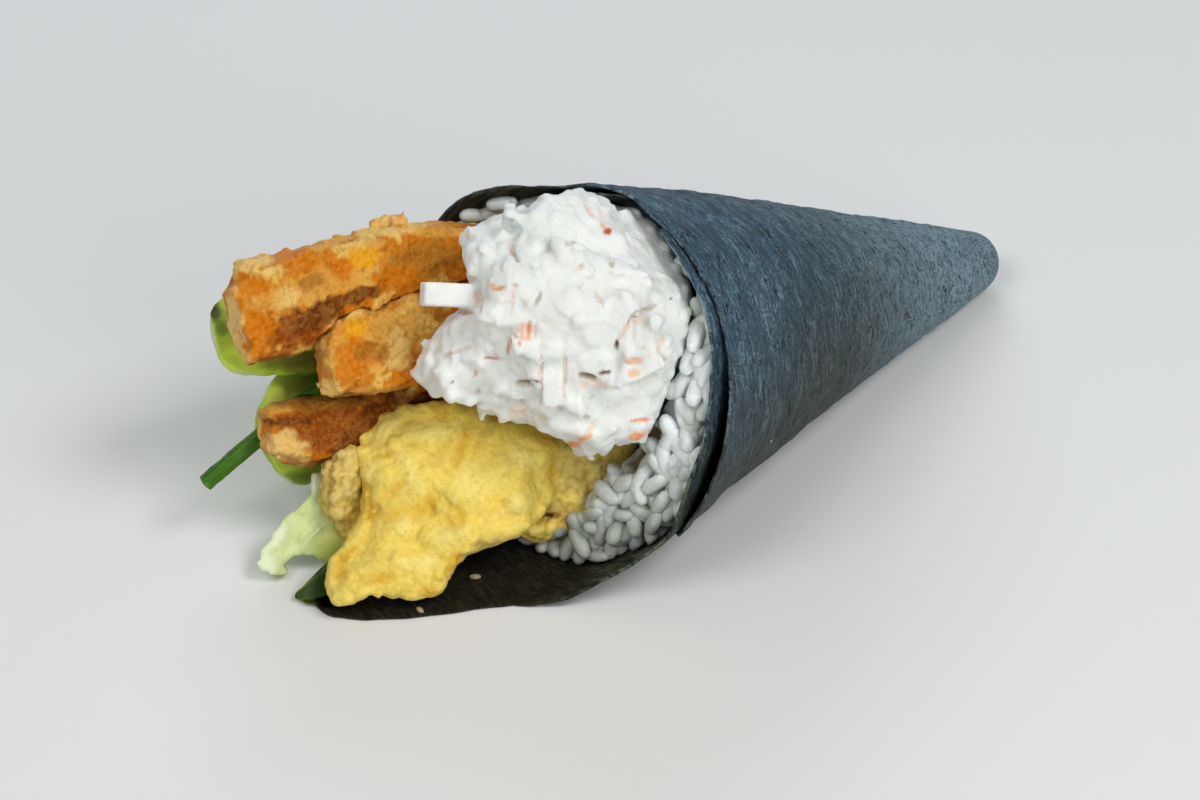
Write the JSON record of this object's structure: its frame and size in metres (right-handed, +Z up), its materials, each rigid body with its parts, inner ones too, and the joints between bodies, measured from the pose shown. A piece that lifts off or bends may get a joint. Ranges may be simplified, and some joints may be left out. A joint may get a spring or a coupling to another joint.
{
  "type": "temaki hand roll",
  "caption": "Cone-shaped hand roll of nori lined with rice, filled with crab salad, fried sticks, tempura, avocado and cucumber, lying on its side.",
  "frame": {"origin": "on the floor, on the flat line of the cone's underside, close under the middle of the roll's mouth", "axes": "+X along the floor to the closed tip, +Y to the far side of the roll, +Z up"},
  "size_m": [0.1609, 0.0823, 0.0658],
  "materials": {
    "nori_wrap": "satin",
    "rice": "satin",
    "crab_salad": "satin",
    "fried_stick_upper": "matte",
    "fried_stick_middle": "matte",
    "fried_stick_lower": "matte",
    "tempura_front": "matte",
    "tempura_back": "matte",
    "tempura_far": "matte",
    "avocado_upper": "satin",
    "avocado_lower": "satin",
    "green_strip": "satin",
    "cucumber_pale": "satin",
    "cucumber_dark": "satin"
  },
  "bodies": {
    "root": {"nori_wrap": "nori_wrap", "rice": "rice", "crab_salad": "crab_salad", "fried_stick_upper": "fried_stick_upper", "fried_stick_middle": "fried_stick_middle", "fried_stick_lower": "fried_stick_lower", "tempura_front": "tempura_front", "tempura_back": "tempura_back", "tempura_far": "tempura_far", "avocado_upper": "avocado_upper", "avocado_lower": "avocado_lower", "green_strip": "green_strip", "cucumber_pale": "cucumber_pale", "cucumber_dark": "cucumber_dark"}
  },
  "joints": []
}
